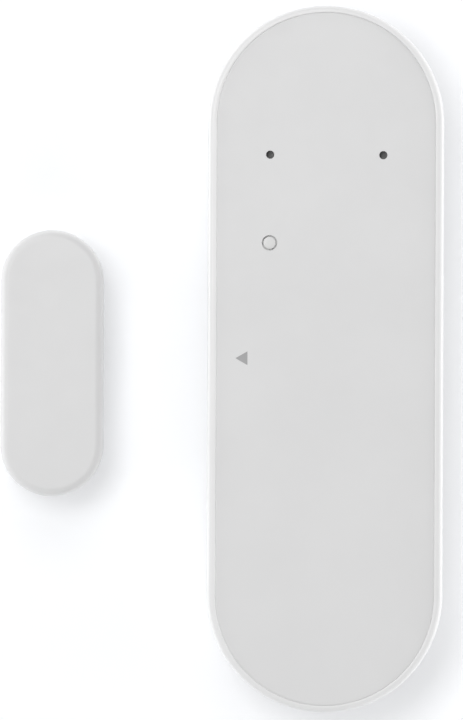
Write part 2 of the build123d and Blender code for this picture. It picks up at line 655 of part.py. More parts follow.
with BuildPart() as magnet_base:
    with BuildSketch(Plane.XY.offset(TAPE_T)):
        with Locations((MAG_X, MAG_Y)):
            SlotCenterToCenter(2 * MAG_HALF, MAG_W - 2 * MAG_WALL, rotation=90)
    extrude(amount=MAG_BASE_TOP - TAPE_T)
    # cradle round the bar magnet
    with BuildSketch(Plane.XY.offset(MAG_BASE_TOP)):
        with Locations((MAG_X, MAG_Y)):
            Rectangle(BAR_W + 1.8, BAR_L + 1.8)
            Rectangle(BAR_W + 0.2, BAR_L + 0.2, mode=Mode.SUBTRACT)
    extrude(amount=3.0)
    # cross ribs that carry the magnet
    with BuildSketch(Plane.XY.offset(MAG_BASE_TOP)):
        with Locations((MAG_X, MAG_Y - 6.0), (MAG_X, MAG_Y), (MAG_X, MAG_Y + 6.0)):
            Rectangle(BAR_W + 0.2, 1.0)
    extrude(amount=BAR_Z - MAG_BASE_TOP)
magnet_base.part.label = "magnet_base"
export_step(magnet_base.part, "parts/magnet_base.step")

with BuildPart() as bar_magnet:
    with BuildSketch(Plane.XY.offset(BAR_Z)):
        with Locations((MAG_X, MAG_Y)):
            Rectangle(BAR_W, BAR_L)
    extrude(amount=BAR_H)
    chamfer(bar_magnet.edges(), 0.25)
bar_magnet.part.label = "bar_magnet"
export_step(bar_magnet.part, "parts/bar_magnet.step")

with BuildPart() as magnet_foam:
    # foam pad that keeps the magnet from rattling under the cap
    with BuildSketch(Plane.XY.offset(BAR_Z + BAR_H)):
        with Locations((MAG_X, MAG_Y)):
            Rectangle(BAR_W - 1.0, 12.0)
    extrude(amount=MAG_H - MAG_TOP_T - BAR_Z - BAR_H)
magnet_foam.part.label = "magnet_foam"
export_step(magnet_foam.part, "parts/magnet_foam.step")

with BuildPart() as adhesive_pad_magnet:
    with BuildSketch():
        with Locations((MAG_X, MAG_Y)):
            SlotCenterToCenter(2 * MAG_HALF, MAG_W - 1.6, rotation=90)
    extrude(amount=TAPE_T)
adhesive_pad_magnet.part.label = "adhesive_pad_magnet"
export_step(adhesive_pad_magnet.part, "parts/adhesive_pad_magnet.step")
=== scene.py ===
import math

import bmesh
import bpy
from mathutils import Matrix, Vector


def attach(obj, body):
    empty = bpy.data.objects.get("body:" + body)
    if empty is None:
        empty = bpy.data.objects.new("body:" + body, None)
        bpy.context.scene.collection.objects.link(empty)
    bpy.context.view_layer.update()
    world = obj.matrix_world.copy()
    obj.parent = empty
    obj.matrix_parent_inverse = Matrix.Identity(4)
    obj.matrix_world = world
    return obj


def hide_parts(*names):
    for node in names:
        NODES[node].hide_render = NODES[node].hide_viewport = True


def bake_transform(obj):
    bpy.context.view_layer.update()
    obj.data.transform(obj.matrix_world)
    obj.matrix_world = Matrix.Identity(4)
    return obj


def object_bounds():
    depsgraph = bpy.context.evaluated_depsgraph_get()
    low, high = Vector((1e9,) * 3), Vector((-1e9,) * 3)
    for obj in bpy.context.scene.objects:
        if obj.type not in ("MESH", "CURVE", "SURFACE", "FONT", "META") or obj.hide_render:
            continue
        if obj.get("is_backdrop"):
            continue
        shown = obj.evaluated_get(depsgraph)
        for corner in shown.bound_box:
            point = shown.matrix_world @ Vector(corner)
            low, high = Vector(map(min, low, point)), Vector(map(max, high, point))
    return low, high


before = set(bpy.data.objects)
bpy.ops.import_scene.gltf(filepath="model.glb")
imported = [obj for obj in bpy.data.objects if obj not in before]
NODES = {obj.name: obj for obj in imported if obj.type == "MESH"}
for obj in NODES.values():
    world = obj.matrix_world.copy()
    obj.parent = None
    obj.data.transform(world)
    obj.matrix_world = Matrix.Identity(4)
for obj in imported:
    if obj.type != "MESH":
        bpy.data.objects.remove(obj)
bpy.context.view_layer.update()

MM = 0.001
SENSOR, COVER, MAGNET = "sensor_unit", "front_cover", "magnet_unit"


# ------------------------------------------------------------------ camera
def make_camera():
    centre = Vector((-10.13, -0.15, 14.0)) * MM
    distance = 0.90
    span = 77.6 * MM
    lean = math.radians(0.30)
    cam = bpy.data.cameras.new("camera")
    cam.sensor_width = 36.0
    cam.lens = 36.0 * distance / span
    cam.clip_start, cam.clip_end = 0.05, 20.0
    cam.dof.use_dof = False
    ob = bpy.data.objects.new("camera", cam)
    bpy.context.scene.collection.objects.link(ob)
    back = Vector((-math.sin(lean), -math.sin(lean), 1.0)).normalized()
    up = Vector((-math.sin(0.0042), math.cos(0.0042), 0.0))
    right = up.cross(back).normalized()
    up = back.cross(right).normalized()
    rot = Matrix((right, up, back)).transposed().to_4x4()
    ob.matrix_world = Matrix.Translation(centre + back * distance) @ rot
    bpy.context.scene.camera = ob


make_camera()


# ------------------------------------------------------------------ light and floor
# each light: place, aim, width, height, watts, colour
LIGHTS = {
    "key": ((-0.115, 0.08, 0.56), (0, 0, 0), 0.155, 0.155, 0.92, (1.0, 1.0, 1.0)),
    "right_mid": ((0.45, 0.0, 0.40), (0, 0, 0), 0.35, 0.35, 0.30, (1.0, 1.0, 1.0)),
    "left_high": ((-0.32, 0.0, 0.85), (0, 0, 0), 0.30, 0.30, 0.38, (1.0, 1.0, 1.0)),
    "left_strip": ((-0.70, 0.0, 0.07), (0, 0, 0), 0.60, 0.10, 1.95, (1.0, 1.0, 1.0)),
    "right_strip": ((0.70, 0.0, 0.07), (0, 0, 0), 0.60, 0.10, 2.20, (1.0, 1.0, 1.0)),
    "back_strip": ((0.0, 0.70, 0.07), (0, 0, 0), 0.60, 0.10, 0.55, (1.0, 1.0, 1.0)),
    "back_near": ((-0.05, 0.30, 0.50), (0, 0, 0), 0.25, 0.25, 0.45, (1.0, 1.0, 1.0)),
    "front_mid": ((0.0, -0.60, 0.55), (0, 0, 0), 0.50, 0.50, 0.90, (1.0, 1.0, 1.0)),
}
WORLD = 0.323
FLOOR_GLOW = 0.294


def make_light(name, place, aim, width, height, watts, colour):
    data = bpy.data.lights.new(name, "AREA")
    data.shape = "RECTANGLE"
    data.size, data.size_y = width, height
    data.energy = watts
    data.color = colour
    ob = bpy.data.objects.new(name, data)
    ob.location = place
    ob.rotation_mode = "QUATERNION"
    ob.rotation_quaternion = (Vector(aim) - Vector(place)).to_track_quat("-Z", "Y")
    ob.visible_camera = False
    bpy.context.scene.collection.objects.link(ob)


for light_name, light_args in LIGHTS.items():
    make_light(light_name, *light_args)

world = bpy.data.worlds.new("studio")
world.use_nodes = True
world.node_tree.nodes["Background"].inputs["Color"].default_value = (1.0, 1.0, 1.0, 1)
world.node_tree.nodes["Background"].inputs["Strength"].default_value = WORLD
bpy.context.scene.world = world

view = bpy.context.scene.view_settings
view.view_transform = "Standard"
view.look = "None"
view.exposure = 0.0
view.gamma = 1.0


def make_floor():
    me = bpy.data.meshes.new("floor")
    s = 3.0
    me.from_pydata([(-s, -s, 0), (s, -s, 0), (s, s, 0), (-s, s, 0)], [], [(0, 1, 2, 3)])
    ob = bpy.data.objects.new("floor", me)
    bpy.context.scene.collection.objects.link(ob)
    mat = bpy.data.materials.new("floor")
    mat.use_nodes = True
    p = mat.node_tree.nodes["Principled BSDF"]
    p.inputs["Base Color"].default_value = (0.760, 0.770, 0.790, 1)
    p.inputs["Roughness"].default_value = 0.9
    p.inputs["Specular IOR Level"].default_value = 0.1
    p.inputs["Emission Color"].default_value = (1, 1, 1, 1)
    p.inputs["Emission Strength"].default_value = FLOOR_GLOW
    me.materials.append(mat)
    ob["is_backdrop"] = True


make_floor()


# ------------------------------------------------------------------ materials
class Mat:
    """A node material with object coordinates in millimetres."""

    def __init__(self, name, **sockets):
        self.mat = bpy.data.materials.new(name)
        self.mat.use_nodes = True
        self.nt = self.mat.node_tree
        self.p = self.nt.nodes["Principled BSDF"]
        for key, value in sockets.items():
            self.p.inputs[key.replace("_", " ")].default_value = value
        self.co = self.nt.nodes.new("ShaderNodeTexCoord")
        self.map = self.scaled(1000.0)
        self.last_normal = None

    def scaled(self, sx, sy=None, sz=None):
        m = self.nt.nodes.new("ShaderNodeMapping")
        m.inputs["Scale"].default_value = (sx, sy or sx, sz or sx)
        self.nt.links.new(self.co.outputs["Object"], m.inputs["Vector"])
        return m.outputs["Vector"]

    def noise(self, scale, detail=2.0, rough=0.5, vector=None):
        n = self.nt.nodes.new("ShaderNodeTexNoise")
        n.inputs["Scale"].default_value = scale
        n.inputs["Detail"].default_value = detail
        n.inputs["Roughness"].default_value = rough
        self.nt.links.new(vector or self.map, n.inputs["Vector"])
        return n.outputs["Fac"]

    def voronoi(self, scale, feature="F1", vector=None, metric="EUCLIDEAN"):
        n = self.nt.nodes.new("ShaderNodeTexVoronoi")
        n.feature = feature
        if feature != "DISTANCE_TO_EDGE":
            n.distance = metric
        n.inputs["Scale"].default_value = scale
        self.nt.links.new(vector or self.map, n.inputs["Vector"])
        return n.outputs["Distance"]

    def span(self, fac, lo, hi, to_lo, to_hi, smooth=False):
        n = self.nt.nodes.new("ShaderNodeMapRange")
        n.interpolation_type = "SMOOTHSTEP" if smooth else "LINEAR"
        n.inputs["From Min"].default_value = lo
        n.inputs["From Max"].default_value = hi
        n.inputs["To Min"].default_value = to_lo
        n.inputs["To Max"].default_value = to_hi
        self.nt.links.new(fac, n.inputs["Value"])
        return n.outputs["Result"]

    def math(self, op, a, b):
        n = self.nt.nodes.new("ShaderNodeMath")
        n.operation = op
        for i, x in enumerate((a, b)):
            if isinstance(x, (int, float)):
                n.inputs[i].default_value = x
            else:
                self.nt.links.new(x, n.inputs[i])
        return n.outputs["Value"]

    def mix(self, fac, a, b):
        n = self.nt.nodes.new("ShaderNodeMix")
        n.data_type = "RGBA"
        self.nt.links.new(fac, n.inputs["Factor"])
        for key, x in ((6, a), (7, b)):
            if isinstance(x, tuple):
                n.inputs[key].default_value = (*x[:3], 1)
            else:
                self.nt.links.new(x, n.inputs[key])
        return n.outputs[2]

    def colour(self, socket):
        self.nt.links.new(socket, self.p.inputs["Base Color"])

    def roughness(self, socket):
        self.nt.links.new(socket, self.p.inputs["Roughness"])

    def bump(self, height, distance_mm, strength=1.0):
        n = self.nt.nodes.new("ShaderNodeBump")
        n.inputs["Distance"].default_value = distance_mm * MM
        n.inputs["Strength"].default_value = strength
        self.nt.links.new(height, n.inputs["Height"])
        if self.last_normal is not None:
            self.nt.links.new(self.last_normal, n.inputs["Normal"])
        self.last_normal = n.outputs["Normal"]
        self.nt.links.new(self.last_normal, self.p.inputs["Normal"])


def shade(c, k):
    return tuple(min(1.0, x * k) for x in c)


def moulded(name, base, rough=(0.40, 0.48), grain=5.0, depth=0.004, flow=0.012, **kw):
    """Moulded plastic: spark-eroded grain, faint cloudiness from the melt, uneven sheen."""
    m = Mat(name, IOR=1.50, **kw)
    cloud = m.noise(0.09, 3.0, 0.55)
    speck = m.noise(9.0, 2.0, 0.6)
    body = m.mix(m.span(cloud, 0.3, 0.7, 0, 1, True), shade(base, 1 - flow), shade(base, 1 + flow))
    m.colour(m.mix(m.span(speck, 0.62, 0.80, 0, 0.35, True), body, shade(base, 0.95)))
    m.roughness(m.span(m.noise(0.5, 4.0, 0.6), 0.3, 0.7, rough[0], rough[1]))
    m.bump(m.noise(grain, 3.0, 0.6), depth)
    m.bump(m.noise(0.25, 2.0, 0.5), 0.010, 0.5)
    return m.mat


def metal(name, base, rough=(0.22, 0.38), brush=(60.0, 900.0, 900.0), depth=0.002, stain=0.10):
    """Plated metal: fine draw lines, dull patches and slight tarnish."""
    m = Mat(name, Metallic=1.0)
    lines = m.noise(1.0, 3.0, 0.6, m.scaled(*brush))
    patch = m.noise(0.55, 4.0, 0.6)
    m.colour(m.mix(m.span(patch, 0.35, 0.75, 0, 1, True), base, shade(base, 1 - stain)))
    m.roughness(m.math("ADD", m.span(patch, 0.3, 0.7, rough[0], rough[1]), m.span(lines, 0.3, 0.7, -0.05, 0.06)))
    m.bump(lines, depth)
    return m.mat


def board_resist(name, base, trace, pitch=1.0):
    """Solder resist over copper: traces show lighter, with pads of copper pour."""
    m = Mat(name, IOR=1.5)
    brick = m.nt.nodes.new("ShaderNodeTexBrick")
    brick.offset = 0.5
    brick.inputs["Scale"].default_value = 1.0
    brick.inputs["Brick Width"].default_value = 3.1 * pitch
    brick.inputs["Row Height"].default_value = 0.62 * pitch
    brick.inputs["Mortar Size"].default_value = 0.075
    brick.inputs["Mortar Smooth"].default_value = 0.1
    m.nt.links.new(m.map, brick.inputs["Vector"])
    region = m.span(m.noise(0.22, 1.0, 0.4), 0.48, 0.52, 0, 1, True)
    pour = m.span(m.voronoi(0.16, "F1", None, "CHEBYCHEV"), 0.42, 0.44, 1, 0)
    lines = m.math("MULTIPLY", brick.outputs["Fac"], region)
    copper = m.math("MAXIMUM", lines, m.math("MULTIPLY", pour, 0.55))
    mottled = m.mix(m.noise(1.2, 3.0), base, shade(base, 1.25))
    m.colour(m.mix(copper, mottled, trace))
    m.roughness(m.span(m.noise(2.5, 3.0), 0.3, 0.7, 0.22, 0.36))
    m.bump(copper, 0.02)
    m.bump(m.noise(7.0, 2.0), 0.002)
    return m.mat


def foam(name, base, cell=3.5, depth=0.05):
    """Closed-cell foam with open cut cells."""
    m = Mat(name, IOR=1.4)
    cells = m.voronoi(cell, "F1")
    fine = m.voronoi(cell * 2.7, "F1")
    pores = m.math("MULTIPLY", m.span(cells, 0.05, 0.5, 0.0, 1.0, True), m.span(fine, 0.0, 0.45, 0.6, 1.0, True))
    # the pore pits are coloured darker as well as sunk by the bump: painted shade in the pits
    m.colour(m.mix(pores, shade(base, 0.80), shade(base, 1.04)))
    m.roughness(m.span(pores, 0, 1, 0.95, 0.8))
    m.bump(pores, depth)
    return m.mat


WHITE = (0.780, 0.780, 0.782)
MATS = {
    "panel": moulded("panel_plastic", (0.712, 0.712, 0.714), (0.42, 0.50), 6.5, 0.003),
    "inside": moulded("inside_plastic", (0.66, 0.66, 0.655), (0.32, 0.42), 2.5, 0.006),
    "print": moulded("printed_grey", (0.38, 0.38, 0.385), (0.5, 0.6), 8.0, 0.004),
    "pipe": moulded("milky_pipe", (0.69, 0.69, 0.688), (0.38, 0.46), 3.0, 0.002),
    "resist": board_resist("green_resist", (0.008, 0.085, 0.030), (0.020, 0.17, 0.055)),
    "module": board_resist("blue_resist", (0.006, 0.020, 0.075), (0.015, 0.055, 0.16), 0.5),
    "tin": metal("tinned_sheet", (0.76, 0.76, 0.74), (0.26, 0.36), (60.0, 900.0, 900.0), 0.0008, 0.05),
    "zinc": metal("zinc_screw", (0.60, 0.61, 0.63), (0.28, 0.40), (400.0, 400.0, 400.0)),
    "wire": metal("spring_wire", (0.68, 0.68, 0.67), (0.16, 0.26), (700.0, 700.0, 700.0)),
    "nickel": metal("nickel_strip", (0.74, 0.71, 0.64), (0.20, 0.34)),
    "can": metal("nickel_can", (0.70, 0.70, 0.69), (0.16, 0.28), (900.0, 40.0, 900.0)),
    "blade": metal("reed_metal", (0.60, 0.57, 0.52), (0.20, 0.32)),
    "magnet_metal": metal("nickel_magnet", (0.70, 0.69, 0.67), (0.10, 0.20), (300.0, 300.0, 300.0)),
    "black": moulded("black_plastic", (0.022, 0.022, 0.024), (0.38, 0.5), 4.0, 0.006, 0.10),
    "brown": moulded("brown_plastic", (0.115, 0.040, 0.016), (0.32, 0.44), 4.0, 0.006, 0.08),
    "acetal": moulded("grey_acetal", (0.36, 0.36, 0.37), (0.30, 0.40), 4.0, 0.004, 0.05),
    "epoxy": moulded("led_epoxy", (0.72, 0.66, 0.36), (0.12, 0.2), 4.0, 0.002, 0.04),
    "ferrite": moulded("ferrite", (0.045, 0.045, 0.048), (0.55, 0.75), 7.0, 0.012, 0.15),
    "tantalum": moulded("tantalum_yellow", (0.62, 0.30, 0.030), (0.34, 0.46), 5.0, 0.004, 0.05),
    "tape": foam("white_foam_tape", (0.74, 0.74, 0.72)),
    "grey_foam": foam("grey_foam", (0.10, 0.10, 0.105), 2.2, 0.10),
}


def clear_glass():
    m = Mat("reed_glass", Transmission_Weight=1.0, IOR=1.50)
    m.colour(m.mix(m.noise(0.4, 2.0), (0.86, 0.95, 0.91), (0.92, 0.98, 0.95)))
    m.roughness(m.span(m.noise(1.0, 3.0), 0.3, 0.7, 0.01, 0.05))
    m.bump(m.noise(0.6, 2.0), 0.01)
    return m.mat


MATS["glass"] = clear_glass()


def painted_edge_light(name, top, edge, wall, zs, xs, painted_left_dim, grain=5.0, rough=(0.40, 0.48)):
    """Moulded plastic with painted light: a painted highlight on the rounded edges, the walls in a painted tone of
    their own, both painted darker towards -X and lighter towards +X.
    """
    m = Mat(name, IOR=1.50)
    split = m.nt.nodes.new("ShaderNodeSeparateXYZ")
    m.nt.links.new(m.map, split.inputs["Vector"])
    cloud = m.span(m.noise(0.09, 3.0, 0.55), 0.3, 0.7, 0, 1, True)
    # painted side light: the edge and wall colours are dimmed at xs[0] and full at xs[1], so they are painted darker
    # towards -X and lighter towards +X
    painted_side_light = m.span(split.outputs["X"], xs[0], xs[1], 0, 1, True)
    sides = m.mix(painted_side_light, shade(wall, painted_left_dim), wall)
    rim = m.mix(painted_side_light, shade(edge, painted_left_dim), edge)
    # painted highlight: the edge colour above zs[1], the painted wall colour below zs[0]
    lower = m.mix(m.span(split.outputs["Z"], zs[0], zs[1], 1, 0, True), rim, sides)
    flat = m.mix(cloud, shade(top, 0.99), shade(top, 1.01))
    # the flat top above zs[3] keeps its own tone; below zs[2] the painted edge and wall colours take over
    m.colour(m.mix(m.span(split.outputs["Z"], zs[2], zs[3], 1, 0, True), flat, lower))
    m.roughness(m.span(m.noise(0.5, 4.0, 0.6), 0.3, 0.7, rough[0], rough[1]))
    m.bump(m.noise(grain, 3.0, 0.6), 0.003)
    m.bump(m.noise(0.25, 2.0, 0.5), 0.010, 0.5)
    return m.mat


# magnet cap: painted highlight on its rounded edges and painted light on its walls, lighter towards +X
MATS["magnet"] = painted_edge_light("magnet_plastic", (0.717, 0.717, 0.719), (0.935, 0.935, 0.937), (0.88, 0.88, 0.88), (8.6, 10.2, 10.45, 10.98), (-33.6, -25.6), 0.82)
# housing shell: painted highlight on the rim's rounded edge and painted shade on the walls below, lighter towards +X
MATS["shell"] = painted_edge_light("shell_plastic", WHITE, (0.90, 0.90, 0.902), (0.66, 0.66, 0.662), (12.6, 13.6, 13.85, 14.19), (-12.0, 12.0), 0.97, 5.0, (0.30, 0.38))


def sleeve_film():
    """Shrink film: dark body with a copper-coloured band at the positive end."""
    m = Mat("sleeve_film", IOR=1.5, Coat_Weight=0.6, Coat_Roughness=0.08)
    split = m.nt.nodes.new("ShaderNodeSeparateXYZ")
    m.nt.links.new(m.map, split.inputs["Vector"])
    band = m.span(split.outputs["Y"], 5.6, 5.64, 0, 1)
    line = m.math("MULTIPLY", m.span(split.outputs["Y"], 4.9, 4.94, 0, 1), m.span(split.outputs["Y"], 5.2, 5.24, 1, 0))
    dark = m.mix(m.noise(1.5, 3.0), (0.012, 0.014, 0.020), (0.020, 0.022, 0.030))
    copper = m.mix(m.noise(1.5, 3.0), (0.46, 0.20, 0.085), (0.52, 0.24, 0.10))
    m.colour(m.mix(m.math("MAXIMUM", band, line), dark, copper))
    m.nt.links.new(m.span(m.math("MAXIMUM", band, line), 0, 1, 0.15, 0.85), m.p.inputs["Metallic"])
    m.roughness(m.span(m.noise(0.7, 3.0), 0.3, 0.7, 0.22, 0.34))
    m.bump(m.noise(0.5, 2.0), 0.006)
    return m.mat


MATS["film"] = sleeve_film()


def woven_gauze():
    """Dark gauze of crossed threads."""
    m = Mat("woven_gauze", IOR=1.45)
    w1 = m.nt.nodes.new("ShaderNodeTexWave")
    w2 = m.nt.nodes.new("ShaderNodeTexWave")
    for w, axis in ((w1, "X"), (w2, "Y")):
        w.bands_direction = axis
        w.inputs["Scale"].default_value = 2.6
        w.inputs["Distortion"].default_value = 0.3
        m.nt.links.new(m.map, w.inputs["Vector"])
    weave = m.math("MAXIMUM", w1.outputs["Fac"], w2.outputs["Fac"])
    m.colour(m.mix(weave, (0.10, 0.10, 0.10), (0.24, 0.24, 0.24)))
    m.roughness(m.span(m.noise(2.0, 2.0), 0.3, 0.7, 0.7, 0.9))
    m.bump(weave, 0.03)
    return m.mat


MATS["gauze"] = woven_gauze()


# ------------------------------------------------------------------ mesh tools
ARC, STR = 56, 14


def pill(r, half, z, cx=0.0, cy=0.0, arc=ARC, straight=STR):
    pts = []
    for k, sign in ((0, 1), (1, -1)):
        for i in range(arc + 1):
            a = math.pi * (i / arc + k)
            pts.append((cx + r * math.cos(a), cy + sign * half + r * math.sin(a), z))
        for j in range(1, straight):
            pts.append((cx - sign * r, cy + sign * half * (1 - 2 * j / straight), z))
    return pts


def circle(r, z, cx=0.0, cy=0.0, n=64):
    return [(cx + r * math.cos(2 * math.pi * i / n), cy + r * math.sin(2 * math.pi * i / n), z) for i in range(n)]


def loft(bm, rings, close=False, caps=True):
    """Quads between rings given in millimetres; flat caps at both ends, or joined end to end."""
    rows = [[bm.verts.new(Vector(p) * MM) for p in ring] for ring in rings]
    pairs = list(zip(rows, rows[1:]))
    if close:
        pairs.append((rows[-1], rows[0]))
    for a, b in pairs:
        n = len(a)
        for i in range(n):
            j = (i + 1) % n
            bm.faces.new((a[i], a[j], b[j], b[i]))
    if caps and not close:
        bm.faces.new(list(reversed(rows[0])))
        bm.faces.new(rows[-1])
    return rows


def bend(c0, r, a0, a1, n):
    """Points (offset, z) of an arc about c0, in degrees."""
    return [(c0[0] + r * math.cos(math.radians(a0 + (a1 - a0) * i / n)),
             c0[1] + r * math.sin(math.radians(a0 + (a1 - a0) * i / n))) for i in range(n + 1)]


def block(bm, lo, hi, bevel=0.1, segments=2):
    """A box from lo to hi in millimetres with rounded edges."""
    part = bmesh.new()
    bmesh.ops.create_cube(part, size=1.0)
    size = [h - l for l, h in zip(lo, hi)]
    mid = [(h + l) / 2 for l, h in zip(lo, hi)]
    for v in part.verts:
        v.co = Vector([(v.co[i] * size[i] + mid[i]) * MM for i in range(3)])
    if bevel:
        bmesh.ops.bevel(part, geom=list(part.edges), offset=bevel * MM, segments=segments,
                        profile=0.5, affect="EDGES", clamp_overlap=True)
    merge(bm, part)


def merge(bm, part):
    me = bpy.data.meshes.new("tmp")
    part.to_mesh(me)
    part.free()
    bm.from_mesh(me)
    bpy.data.meshes.remove(me)


def turned(bm, profile, cx, cy, n=48, axis="Z", cz=0.0):
    """Turns (radius, height) points in millimetres about an upright axis, or one along Y."""
    rows = []
    for r, h in profile:
        if r < 1e-6:
            rows.append([(cx, cy, h) if axis == "Z" else (cx, h, cz)])
        else:
            ring = []
            for i in range(n):
                a = 2 * math.pi * i / n
                if axis == "Z":
                    ring.append((cx + r * math.cos(a), cy + r * math.sin(a), h))
                else:
                    ring.append((cx + r * math.cos(a), h, cz + r * math.sin(a)))
            rows.append(ring)
    verts = [[bm.verts.new(Vector(p) * MM) for p in row] for row in rows]
    for a, b in zip(verts, verts[1:]):
        for i in range(n):
            j = (i + 1) % n
            if len(a) == 1 and len(b) == 1:
                continue
            if len(a) == 1:
                bm.faces.new((a[0], b[j], b[i]))
            elif len(b) == 1:
                bm.faces.new((a[i], a[j], b[0]))
            else:
                bm.faces.new((a[i], a[j], b[j], b[i]))


def tube(bm, path, radius, n=16):
    """A round wire along a dense list of points, with domed ends."""
    pts = [Vector(p) for p in path]
    rows = []
    normal = None
    for i, p in enumerate(pts):
        t = (pts[min(i + 1, len(pts) - 1)] - pts[max(i - 1, 0)]).normalized()
        if normal is None:
            normal = t.orthogonal().normalized()
        normal = (normal - t * normal.dot(t)).normalized()
        side = t.cross(normal)
        rows.append((p, t, normal.copy(), side))
    rings = []
    for k, (p, t, a, b) in enumerate(rows):
        steps = [(0.0, 1.0)]
        if k == 0:
            steps = [(-radius * 0.9, 0.35), (-radius * 0.6, 0.8), (0.0, 1.0)]
        if k == len(rows) - 1:
            steps = [(0.0, 1.0), (radius * 0.6, 0.8), (radius * 0.9, 0.35)]
        for s, q in steps:
            rings.append([p + t * s + (a * math.cos(2 * math.pi * i / n) + b * math.sin(2 * math.pi * i / n)) * radius * q
                          for i in range(n)])
    loft(bm, rings)


def make(name, bm):
    bmesh.ops.remove_doubles(bm, verts=bm.verts, dist=1e-8)
    bmesh.ops.recalc_face_normals(bm, faces=bm.faces)
    me = bpy.data.meshes.new(name)
    bm.to_mesh(me)
    bm.free()
    ob = bpy.data.objects.new(name, me)
    bpy.context.scene.collection.objects.link(ob)
    return ob


def boolean(ob, bm, operation):
    tool = make("tool", bm)
    mod = ob.modifiers.new("cut", "BOOLEAN")
    mod.operation, mod.object, mod.solver = operation, tool, "EXACT"
    dg = bpy.context.evaluated_depsgraph_get()
    me = bpy.data.meshes.new_from_object(ob.evaluated_get(dg))
    ob.modifiers.clear()
    old = ob.data
    ob.data = me
    me.name = ob.name
    bpy.data.meshes.remove(old)
    bpy.data.objects.remove(tool)


def dress(ob, mats, body, replaces=(), angle=30.0):
    """Smooth shading with crisp corners, materials, and the body the piece rides on."""
    for m in mats if isinstance(mats, (list, tuple)) else [mats]:
        ob.data.materials.append(m)
    ob.data.shade_smooth()
    ob.data.set_sharp_from_angle(angle=math.radians(angle))
    wn = ob.modifiers.new("normals", "WEIGHTED_NORMAL")
    wn.keep_sharp = True
    wn.mode = "FACE_AREA"
    wn.weight = 50
    if body:
        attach(ob, body)
    if replaces:
        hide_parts(*replaces)
    return ob


def keep(node, mat):
    """A CAD node that stays, with its own finish."""
    ob = NODES[node]
    ob.data.materials.clear()
    ob.data.materials.append(mat)


# ------------------------------------------------------------------ housing
H, B = 25.40, 25.58
SEAM_IN, SEAM_OUT = 11.797, 11.803
rings = [pill(10.98, B, 2.10), pill(11.14, B, 2.14), pill(11.26, B, 2.26), pill(11.30, B, 2.42)]
rings += [pill(11.30, B, z) for z in (5.0, 8.0, 10.9, 12.84)]
rings += [pill(11.33, B, 12.89), pill(11.38, B, 12.90), pill(11.78, B, 12.90), pill(SEAM_OUT, B, 12.94), pill(SEAM_OUT, B, 13.6)]
rings += [pill(o, B, z) for o, z in bend((SEAM_OUT + 0.08, 14.2 - 0.08), 0.08, 180, 90, 5)]
rings += [pill(o, H, z) for o, z in bend((12.70 - 0.55, 14.2 - 0.55), 0.55, 90, 0, 14)]
rings += [pill(12.70, H, z) for z in (11.0, 8.0, 5.0)]
rings += [pill(o, H, z) for o, z in bend((12.70 - 0.50, 0.8 + 0.50), 0.50, 0, -90, 10)]
bm = bmesh.new()
loft(bm, rings)
housing = make("housing_shell", bm)

WALL = (-6.0, 27.0)
POSTS = ((-8.3, -17.2), (-8.9, 17.6), (8.6, 23.0))
bm = bmesh.new()
for s in (1, -1):
    loft(bm, [circle(4.35, 1.6, WALL[0], s * WALL[1]), circle(4.35, 2.1, WALL[0], s * WALL[1]),
              circle(4.22, 2.22, WALL[0], s * WALL[1]), circle(4.2, 2.4, WALL[0], s * WALL[1]),
              circle(4.2, 3.02, WALL[0], s * WALL[1]), circle(4.12, 3.1, WALL[0], s * WALL[1])])
for x, y in POSTS:
    loft(bm, [circle(2.05, 1.6, x, y), circle(2.05, 2.1, x, y), circle(1.92, 2.22, x, y), circle(1.9, 2.4, x, y),
              circle(1.9, 3.94, x, y), circle(1.84, 4.0, x, y)])
boolean(housing, bm, "UNION")
for lo, hi in (
    ((-0.3, -21.6, 1.6), (0.5, 12.0, 4.7)),
    ((0.1, -21.6, 1.6), (11.6, -20.4, 5.6)), ((0.1, -5.4, 1.6), (11.6, -4.2, 5.6)), ((0.1, 10.8, 1.6), (11.6, 12.0, 5.6)),
    ((-1.5, -32.8, 1.6), (8.0, -31.6, 10.4)), ((0.1, -36.4, 1.6), (1.1, -32.6, 10.4)), ((5.4, -35.7, 1.6), (6.4, -32.6, 10.4)),
    ((0.4, 17.9, 1.6), (11.4, 19.1, 10.4)),
    ((-2.5, -32.2, 1.6), (-1.5, -30.6, 8.1)), ((8.8, 16.9, 1.6), (9.8, 18.5, 8.1)), ((8.7, -32.2, 1.6), (9.5, -30.6, 8.1)),
):
    bm = bmesh.new()
    block(bm, lo, hi, 0.12)
    boolean(housing, bm, "UNION")
bm = bmesh.new()
turned(bm, [(0, -26.8), (5.33, -26.8), (5.33, 17.5), (0, 17.5)], 5.2, 0, 96, "Y", 7.5)
boolean(housing, bm, "DIFFERENCE")
bm = bmesh.new()
for s in (1, -1):
    turned(bm, [(0, 0.4), (1.78, 0.4), (1.70, 0.88), (1.70, 1.80), (3.0, 3.10), (3.0, 3.6), (0, 3.6)], WALL[0], s * WALL[1], 64)
for x, y in POSTS:
    turned(bm, [(0, 1.85), (0.75, 1.85), (0.75, 4.3), (0, 4.3)], x, y, 32)
for sx in (1, -1):
    for sy in (1, -1):
        block(bm, (sx * 11.3 - 0.3, sy * 14.0 - 2.8, 10.9), (sx * 11.3 + 0.3, sy * 14.0 + 2.8, 12.1), 0.08)
boolean(housing, bm, "DIFFERENCE")
dress(housing, MATS["shell"], SENSOR, ["housing"])

